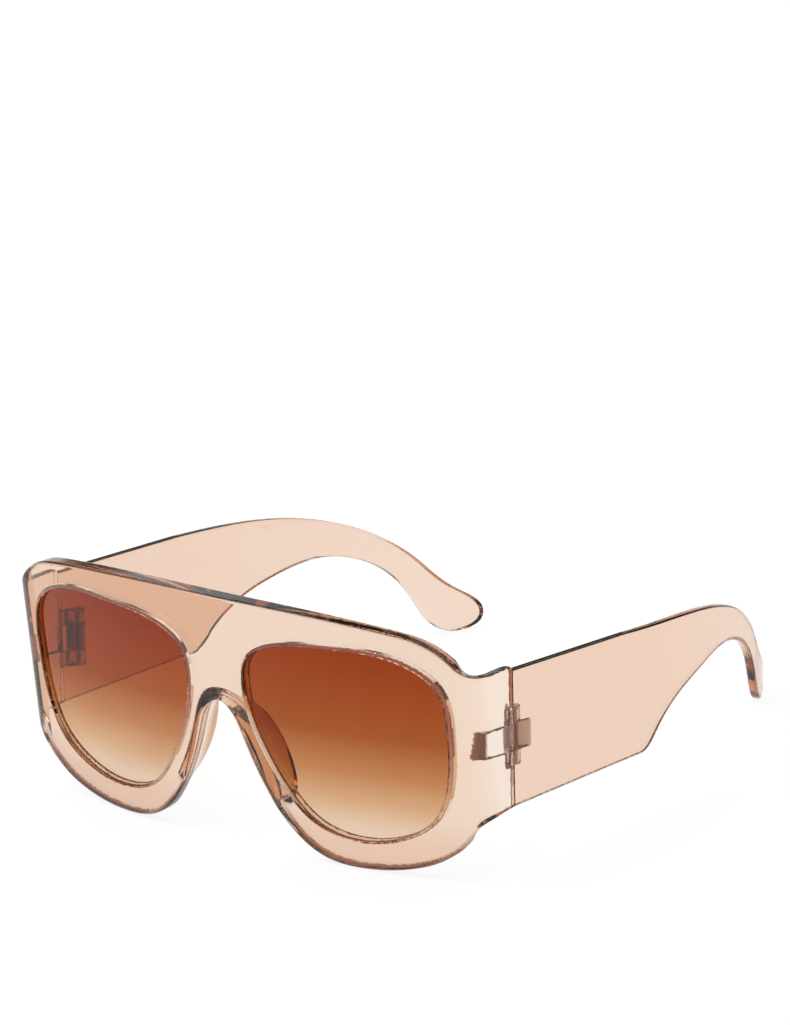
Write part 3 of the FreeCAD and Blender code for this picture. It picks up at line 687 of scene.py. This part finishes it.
def lens_shape():
    """Right lens: rings from its middle to its rim, on the two curved faces, with a softened rim."""
    rim = lens_outline(LENS_RIM_POINTS)
    middle = np.array((LENS_X, LENS_Z))
    edge = np.roll(rim, -1, axis=0) - np.roll(rim, 1, axis=0)
    away = np.stack([edge[:, 1], -edge[:, 0]], axis=1)
    away /= np.linalg.norm(away, axis=1)[:, None]
    if ((rim - middle) * away).sum() < 0:
        away = -away
    tuck = GROOVE_DEPTH - PLAY
    soft = 0.25
    shares = (0.12, 0.3, 0.5, 0.7, 0.85, 0.96)
    face_rings = [middle + (rim + away * (tuck - soft) - middle) * s for s in shares]
    face_rings.append(rim + away * (tuck - soft))
    radius = FRONT_RADIUS - LENS_SET_BACK
    points, out = [], []

    def add(ring, depth, tilt):
        """Ring of points at a depth behind the lens's face, its normals tilted from the face to the rim."""
        first = len(points)
        r = radius - depth
        for k, (x, z) in enumerate(ring):
            y = FRONT_RADIUS - math.sqrt(r * r - x * x)
            face = np.array((x / r, (y - FRONT_RADIUS) / r, 0.0))
            side = np.array((away[k % len(away)][0], 0.0, away[k % len(away)][1]))
            normal = face * math.cos(tilt) + side * math.sin(tilt)
            points.append((x, y, z))
            out.append(normal / np.linalg.norm(normal))
        return list(range(first, first + len(ring)))

    quarter = math.pi / 2
    rows = [add([middle], 0.0, 0.0)]
    rows += [add(ring, 0.0, 0.0) for ring in face_rings]
    slant = soft * (1 - math.sqrt(0.5))
    rows.append(add(rim + away * (tuck - slant), slant, quarter / 2))
    rows.append(add(rim + away * tuck, soft, quarter))
    rows.append(add(rim + away * tuck, LENS_THICKNESS - soft, quarter))
    rows.append(add(rim + away * (tuck - slant), LENS_THICKNESS - slant, quarter * 1.5))
    rows += [add(ring, LENS_THICKNESS, math.pi) for ring in reversed(face_rings)]
    rows.append(add([middle], LENS_THICKNESS, math.pi))
    count = len(rim)
    faces = []
    for inner, outer in zip(rows, rows[1:]):
        for k in range(count):
            n = (k + 1) % count
            if len(inner) == 1:
                faces.append((inner[0], outer[n], outer[k]))
            elif len(outer) == 1:
                faces.append((inner[k], inner[n], outer[0]))
            else:
                faces.append((inner[k], inner[n], outer[n], outer[k]))
    return np.array(points), faces, np.array(out)


def outward(points, faces, out):
    """Faces turned so that they look the way of their normals."""
    a, b, c = (points[[f[k] for f in faces]] for k in range(3))
    facing = (np.cross(b - a, c - a) * out[[f[0] for f in faces]]).sum(1)
    return [f if good > 0 else f[::-1] for f, good in zip(faces, facing)]


def sun_lenses(material):
    """Both lenses, seated in the grooves of the rims."""
    points, faces, out = lens_shape()
    faces = outward(points, faces, out)
    right = front_stands(points), faces, out @ turn_about_x(LEAN).T
    finished("right_sun_lens", *right, {}, material, "right_lens", "front", "gradient_lens")
    finished("left_sun_lens", *mirrored(*right), {}, material, "left_lens", "front", "gradient_lens")


def material_base(name):
    """New material with its shader and output nodes."""
    mat = bpy.data.materials.new(name)
    mat.use_nodes = True
    tree = mat.node_tree
    return mat, tree, tree.nodes["Principled BSDF"], tree.nodes["Material Output"]


def noise(tree, size, detail=2.0):
    """Even noise through the piece's own space, with patches of a size in millimetres."""
    place = tree.nodes.new("ShaderNodeTexCoord")
    texture = tree.nodes.new("ShaderNodeTexNoise")
    texture.inputs["Scale"].default_value = 1 / (size * MM)
    texture.inputs["Detail"].default_value = detail
    tree.links.new(place.outputs["Object"], texture.inputs["Vector"])
    return texture.outputs["Fac"]


def mark(tree, name):
    """Share of a marked surface."""
    layer = tree.nodes.new("ShaderNodeAttribute")
    layer.attribute_name = name
    return layer.outputs["Fac"]


def between(tree, share, low, high):
    """Number or colour between two others, by a share from 0 to 1."""
    mix = tree.nodes.new("ShaderNodeMix")
    colours = any(isinstance(v, tuple) or getattr(v, "type", "") == "RGBA" for v in (low, high))
    mix.data_type = "RGBA" if colours else "FLOAT"
    first = 6 if colours else 2
    tree.links.new(share, mix.inputs[0])
    for socket, value in ((mix.inputs[first], low), (mix.inputs[first + 1], high)):
        if hasattr(value, "node"):
            tree.links.new(value, socket)
        else:
            socket.default_value = (*value, 1.0) if colours else value
    return mix.outputs[2 if colours else 0]


def bumped(tree, shader, height, depth):
    """Relief of a depth in millimetres on the surface."""
    bump = tree.nodes.new("ShaderNodeBump")
    bump.inputs["Distance"].default_value = depth * MM
    tree.links.new(height, bump.inputs["Height"])
    tree.links.new(bump.outputs["Normal"], shader.inputs["Normal"])


# Finishes: each pair of colours is mixed by a fine or a broad noise
CLEAR = (1.0, 1.0, 1.0), (0.985, 0.965, 0.945)
# Deeper tint for the painted shade low on the front and over the temples
PAINTED_SHADE_TONES = (0.918, 0.781, 0.68), (0.898, 0.747, 0.647)
AMBER = (0.68, 0.38, 0.15)
# Brown of the painted shade on the front's edges
EDGE_SHADE_BROWN = (0.14, 0.03, 0.006)
WORN = (0.25, 0.05, 0.012), (0.6, 0.22, 0.07)
WORN_CLEARNESS = 0.3
PLASTIC_TINT, PLASTIC_DENSITY = (0.735, 0.345, 0.02, 1.0), 140.0
PLASTIC_IOR, LENS_IOR = 1.49, 1.5
LENS_MIRROR = (0.16, 0.14, 0.13, 1.0)
STEEL_TONES = (0.5, 0.46, 0.42), (0.62, 0.58, 0.54)


def clear_champagne():
    """Clear plastic with a tea tint, matt where the hinges are tooled, with painted shade as a deeper tint
    low on the front and in the temples and as brown on the front's edges.
    """
    mat, tree, shader, out = material_base("clear_champagne")
    flow = noise(tree, size=14.0)
    grain = noise(tree, size=0.35, detail=4.0)
    tooled = mark(tree, "tooled")
    clear = between(tree, flow, *CLEAR)
    deep = between(tree, flow, *PAINTED_SHADE_TONES)
    # Painted shade: a deeper tint where it is marked
    tint = between(tree, mark(tree, "deep_tint"), clear, deep)
    tint = between(tree, mark(tree, "amber"), tint, AMBER)
    # Painted shade: brown on the front's edges
    tint = between(tree, mark(tree, "brown_edge"), tint, EDGE_SHADE_BROWN)
    worn = between(tree, grain, *WORN)
    tree.links.new(between(tree, tooled, tint, worn), shader.inputs["Base Color"])
    polish = between(tree, grain, 0.0, 0.02)
    matt = between(tree, grain, 0.18, 0.4)
    tree.links.new(between(tree, tooled, polish, matt), shader.inputs["Roughness"])
    relief = between(tree, tooled, between(tree, flow, 0.0, 0.2), grain)
    bumped(tree, shader, relief, depth=0.15)
    tree.links.new(between(tree, tooled, 1.0, WORN_CLEARNESS), shader.inputs["Transmission Weight"])
    shader.inputs["IOR"].default_value = PLASTIC_IOR
    depth = tree.nodes.new("ShaderNodeVolumeAbsorption")
    depth.inputs["Color"].default_value = PLASTIC_TINT
    depth.inputs["Density"].default_value = PLASTIC_DENSITY
    tree.links.new(depth.outputs["Volume"], out.inputs["Volume"])
    return mat


# Lens colour from its bottom, at 0, to its top, at 1
LENS_FADE = (
    (0.0, (0.796, 0.628, 0.483)), (0.09, (0.763, 0.554, 0.392)), (0.2, (0.658, 0.392, 0.214)),
    (0.35, (0.508, 0.214, 0.082)), (0.55, (0.359, 0.086, 0.016)), (0.73, (0.334, 0.063, 0.010)),
    (0.95, (0.286, 0.040, 0.004)),
)


def gradient_lens():
    """Brown sun lens that fades to pale at the bottom."""
    mat, tree, shader, out = material_base("gradient_lens")
    place = tree.nodes.new("ShaderNodeTexCoord")
    split = tree.nodes.new("ShaderNodeSeparateXYZ")
    tree.links.new(place.outputs["Object"], split.inputs["Vector"])
    low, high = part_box("right_lens")
    height = tree.nodes.new("ShaderNodeMapRange")
    height.inputs["From Min"].default_value = low[2]
    height.inputs["From Max"].default_value = high[2]
    tree.links.new(split.outputs["Z"], height.inputs["Value"])
    uneven = between(tree, noise(tree, size=9.0), -0.012, 0.012)
    level = tree.nodes.new("ShaderNodeMath")
    tree.links.new(height.outputs["Result"], level.inputs[0])
    tree.links.new(uneven, level.inputs[1])
    ramp = tree.nodes.new("ShaderNodeValToRGB")
    tree.links.new(level.outputs["Value"], ramp.inputs["Fac"])
    while len(ramp.color_ramp.elements) < len(LENS_FADE):
        ramp.color_ramp.elements.new(0.5)
    for element, (place_at, colour) in zip(ramp.color_ramp.elements, LENS_FADE):
        element.position = place_at
        element.color = (*colour, 1.0)
    tree.links.new(ramp.outputs["Color"], shader.inputs["Base Color"])
    tree.links.new(between(tree, noise(tree, size=0.5), 0.0, 0.02), shader.inputs["Roughness"])
    bumped(tree, shader, noise(tree, size=22.0), depth=0.01)
    shader.inputs["Transmission Weight"].default_value = 1.0
    shader.inputs["IOR"].default_value = LENS_IOR
    shader.inputs["Specular Tint"].default_value = LENS_MIRROR
    return mat


def screw_steel():
    """Turned steel of the hinge screws."""
    mat, tree, shader, out = material_base("screw_steel")
    grain = noise(tree, size=0.12, detail=4.0)
    tree.links.new(between(tree, noise(tree, size=1.5), *STEEL_TONES), shader.inputs["Base Color"])
    tree.links.new(between(tree, grain, 0.22, 0.42), shader.inputs["Roughness"])
    bumped(tree, shader, grain, depth=0.01)
    shader.inputs["Metallic"].default_value = 1.0
    return mat


def hinge_screws(material):
    """Both hinge screws, turned from their sizes by a node tree and set on the two hinge lines."""
    tree = bpy.data.node_groups.new("slotted_screws", "GeometryNodeTree")
    tree.interface.new_socket("Screws", in_out="OUTPUT", socket_type="NodeSocketGeometry")
    sizes = {
        "Half Length": (HINGE_HALF - SCREW_RECESS) * MM,
        "Shank Radius": SCREW_RADIUS * MM,
        "Head Radius": SCREW_HEAD * MM,
        "Head Height": SCREW_HEAD_HEIGHT * MM,
        "Chamfer": SCREW_CHAMFER * MM,
        "Slot Width": SCREW_SLOT * MM,
        "Slot Depth": SCREW_SLOT * MM,
        "Lean": -math.asin(RIGHT_HINGE["axis"][1]),
    }
    sockets = {n: tree.interface.new_socket(n, in_out="INPUT", socket_type="NodeSocketFloat") for n in sizes}
    right_hinge = tree.interface.new_socket("Right Hinge", in_out="INPUT", socket_type="NodeSocketVector")
    metal = tree.interface.new_socket("Metal", in_out="INPUT", socket_type="NodeSocketMaterial")
    given = tree.nodes.new("NodeGroupInput").outputs

    def step(kind, inputs, **choices):
        """New node with its choices made and its inputs linked or set."""
        node = tree.nodes.new(kind)
        for choice, value in choices.items():
            setattr(node, choice, value)
        for name, value in inputs.items():
            if hasattr(value, "node"):
                tree.links.new(value, node.inputs[name])
            else:
                node.inputs[name].default_value = value
        return node.outputs

    def sum_of(operation, *values):
        return step("ShaderNodeMath", dict(enumerate(values)), operation=operation)[0]

    def vector(x, y, z):
        return step("ShaderNodeCombineXYZ", {"X": x, "Y": y, "Z": z})[0]

    half = given["Half Length"]
    bar = step("GeometryNodeMeshCylinder", {"Vertices": SCREW_SIDES, "Side Segments": SCREW_RINGS,
                                            "Radius": 1.0, "Depth": sum_of("MULTIPLY", half, 2.0)})
    at = step("ShaderNodeSeparateXYZ", {0: step("GeometryNodeInputPosition", {})[0]})
    in_head = sum_of("GREATER_THAN", at["Z"], sum_of("SUBTRACT", half, given["Head Height"]))
    wider = sum_of("SUBTRACT", given["Head Radius"], given["Shank Radius"])
    past_edge = sum_of("SUBTRACT", sum_of("ABSOLUTE", at["Z"]), sum_of("SUBTRACT", half, given["Chamfer"]))
    radius = sum_of("SUBTRACT", sum_of("MULTIPLY_ADD", in_head, wider, given["Shank Radius"]),
                    sum_of("MAXIMUM", past_edge, 0.0))
    turned = step("GeometryNodeSetPosition", {
        "Geometry": bar["Mesh"],
        "Position": vector(sum_of("MULTIPLY", at["X"], radius), sum_of("MULTIPLY", at["Y"], radius), at["Z"]),
    })
    key = step("GeometryNodeMeshCube", {
        "Size": vector(given["Slot Width"], sum_of("MULTIPLY", given["Head Radius"], 3.0),
                       sum_of("MULTIPLY", given["Slot Depth"], 2.0)),
    })
    key = step("GeometryNodeTransform", {"Geometry": key["Mesh"], "Translation": vector(0.0, 0.0, half)})
    slotted = step("GeometryNodeMeshBoolean", {"Mesh 1": turned["Geometry"], "Mesh 2": key["Geometry"]},
                   operation="DIFFERENCE")
    left_hinge = step("ShaderNodeVectorMath", {0: given["Right Hinge"], 1: (-1.0, 1.0, 1.0)},
                      operation="MULTIPLY")
    hinges = step("GeometryNodeMeshLine", {"Count": 2, "Start Location": left_hinge[0],
                                           "Offset": given["Right Hinge"]}, mode="END_POINTS")
    lean = step("FunctionNodeEulerToRotation", {0: vector(given["Lean"], 0.0, 0.0)})
    placed = step("GeometryNodeInstanceOnPoints", {"Points": hinges["Mesh"], "Instance": slotted["Mesh"],
                                                   "Rotation": lean[0]})
    real = step("GeometryNodeRealizeInstances", {"Geometry": placed["Instances"]})
    coated = step("GeometryNodeSetMaterial", {"Geometry": real["Geometry"], "Material": given["Metal"]})
    tree.links.new(coated["Geometry"], tree.nodes.new("NodeGroupOutput").inputs["Screws"])

    obj = bpy.data.objects.new("hinge_screws", bpy.data.meshes.new("screw_blank"))
    bpy.context.scene.collection.objects.link(obj)
    maker = obj.modifiers.new("slotted_screws", "NODES")
    maker.node_group = tree
    for name, value in sizes.items():
        maker[sockets[name].identifier] = value
    maker[right_hinge.identifier] = tuple(RIGHT_HINGE["pos_m"])
    maker[metal.identifier] = material
    mesh = bpy.data.meshes.new_from_object(obj.evaluated_get(bpy.context.evaluated_depsgraph_get()))
    mesh.polygons.foreach_set("use_smooth", np.ones(len(mesh.polygons), bool))
    mesh.set_sharp_from_angle(angle=math.radians(30))
    obj.modifiers.remove(maker)
    obj.data = mesh
    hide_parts("right_hinge_screw", "left_hinge_screw")
    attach(obj, "front")


PLASTIC = clear_champagne()
LENS = gradient_lens()
STEEL = screw_steel()

moulded_front(PLASTIC)
moulded_temples(PLASTIC)
sun_lenses(LENS)
hinge_screws(STEEL)


def floor():
    """Wide white sheet under the pair, which glows so that only a faint shadow stays on it."""
    reach, glow_strength, glow_share = 4.0, 1.11, 0.8
    mesh = bpy.data.meshes.new("white_sheet")
    corners = [(-reach, -reach, 0), (reach, -reach, 0), (reach, reach, 0), (-reach, reach, 0)]
    mesh.from_pydata(corners, [], [(0, 1, 2, 3)])
    obj = bpy.data.objects.new("white_sheet", mesh)
    bpy.context.scene.collection.objects.link(obj)
    mat, tree, shader, out = material_base("white_sheet")
    shader.inputs["Base Color"].default_value = (0.9, 0.9, 0.9, 1.0)
    shader.inputs["Roughness"].default_value = 0.6
    glow = tree.nodes.new("ShaderNodeEmission")
    glow.inputs["Strength"].default_value = glow_strength
    path = tree.nodes.new("ShaderNodeLightPath")
    seen = path.outputs["Is Camera Ray"]
    for ray in ("Is Glossy Ray", "Is Transmission Ray"):
        either = tree.nodes.new("ShaderNodeMath")
        either.operation = "MAXIMUM"
        tree.links.new(seen, either.inputs[0])
        tree.links.new(path.outputs[ray], either.inputs[1])
        seen = either.outputs["Value"]
    blend = tree.nodes.new("ShaderNodeMixShader")
    tree.links.new(between(tree, seen, 0.0, glow_share), blend.inputs["Fac"])
    tree.links.new(shader.outputs["BSDF"], blend.inputs[1])
    tree.links.new(glow.outputs["Emission"], blend.inputs[2])
    tree.links.new(blend.outputs["Shader"], out.inputs["Surface"])
    mesh.materials.append(mat)


def lamp(name, place, aim, size, power):
    """Soft rectangular lamp."""
    light = bpy.data.lights.new(name, "AREA")
    light.shape = "SQUARE"
    light.size = size
    light.energy = power
    obj = bpy.data.objects.new(name, light)
    obj.location = place
    obj.rotation_euler = (Vector(aim) - Vector(place)).to_track_quat("-Z", "Y").to_euler()
    bpy.context.scene.collection.objects.link(obj)


# Room round the pair. Each thing fades in from a height (1 is straight up) or side (1 is straight before
# the three-quarter picture, -1 behind it) to another
PICTURE_SIDE = (0.69, -0.72, 0.0)
WALL_FOOT, WALL_TOP = (0.08, 0.2), (0.7, 0.5)
NEAR_WALL, NEAR_WALL_TOP = (0.1, 0.45), (0.95, 0.78)
STRIP_FOOT, STRIP_TOP, STRIP_SIDE = (0.22, 0.31), (0.45, 0.36), (-0.6, -0.85)
WHITE, WALL = (1.0, 1.0, 1.0), (0.13, 0.09, 0.065)


def surroundings():
    """White all round but for dark walls with a strip of light at the back, which draw the pair's edges."""
    world = bpy.data.worlds.new("white_room")
    world.use_nodes = True
    tree = world.node_tree
    place = tree.nodes.new("ShaderNodeTexCoord")
    split = tree.nodes.new("ShaderNodeSeparateXYZ")
    tree.links.new(place.outputs["Generated"], split.inputs["Vector"])
    before = tree.nodes.new("ShaderNodeVectorMath")
    before.operation = "DOT_PRODUCT"
    before.inputs[1].default_value = PICTURE_SIDE
    tree.links.new(place.outputs["Generated"], before.inputs[0])

    def rise(value, low, high):
        """Share that goes softly from 0 at one level to 1 at another."""
        band = tree.nodes.new("ShaderNodeMapRange")
        band.interpolation_type = "SMOOTHSTEP"
        band.inputs["From Min"].default_value = low
        band.inputs["From Max"].default_value = high
        tree.links.new(value, band.inputs["Value"])
        return band.outputs["Result"]

    def overlap(first, *others):
        """Share where all of them are."""
        for other in others:
            both = tree.nodes.new("ShaderNodeMath")
            both.operation = "MULTIPLY"
            tree.links.new(first, both.inputs[0])
            tree.links.new(other, both.inputs[1])
            first = both.outputs["Value"]
        return first

    level = split.outputs["Z"]
    side = before.outputs["Value"]
    upper = between(tree, rise(side, *NEAR_WALL), rise(level, *WALL_TOP), rise(level, *NEAR_WALL_TOP))
    wall = overlap(rise(level, *WALL_FOOT), upper)
    strip = overlap(rise(level, *STRIP_FOOT), rise(level, *STRIP_TOP), rise(side, *STRIP_SIDE))
    dark = between(tree, strip, wall, 0.0)
    tree.links.new(between(tree, dark, WHITE, WALL), tree.nodes["Background"].inputs["Color"])
    bpy.context.scene.world = world


# Camera of the three-quarter picture, in the upright front frame
VIEW_TURN = math.radians(43.86)
VIEW_RISE = math.radians(19.78)
VIEW_ROLL = math.radians(-6.28)
VIEW_AWAY = 1800.0
VIEW_TARGET = np.array((64.3, 0.0, 93.75))
VIEW_LENS = 280.2
SENSOR = 36.0


def camera():
    """Camera of the three-quarter picture."""
    back = np.array((math.sin(VIEW_TURN) * math.cos(VIEW_RISE), -math.cos(VIEW_TURN) * math.cos(VIEW_RISE),
                     math.sin(VIEW_RISE)))
    level = np.array((math.cos(VIEW_TURN), math.sin(VIEW_TURN), 0.0))
    rise = np.cross(back, level)
    right = level * math.cos(VIEW_ROLL) + rise * math.sin(VIEW_ROLL)
    up = rise * math.cos(VIEW_ROLL) - level * math.sin(VIEW_ROLL)
    axes = turn_about_x(LEAN) @ np.stack([right, up, back], axis=1)
    data = bpy.data.cameras.new("three_quarter")
    data.lens = VIEW_LENS
    data.sensor_width = SENSOR
    data.clip_start = 0.05
    obj = bpy.data.objects.new("three_quarter", data)
    place = front_stands(VIEW_TARGET + back * VIEW_AWAY)
    obj.matrix_world = Matrix.Translation(Vector(place.tolist())) @ Matrix(axes.tolist()).to_4x4()
    bpy.context.scene.collection.objects.link(obj)
    bpy.context.scene.camera = obj


floor()
surroundings()
lamp("top_softbox", place=(-0.5, -0.4, 1.2), aim=(0, 0, 0), size=1.0, power=6.0)
camera()
bpy.context.scene.view_settings.view_transform = "Standard"
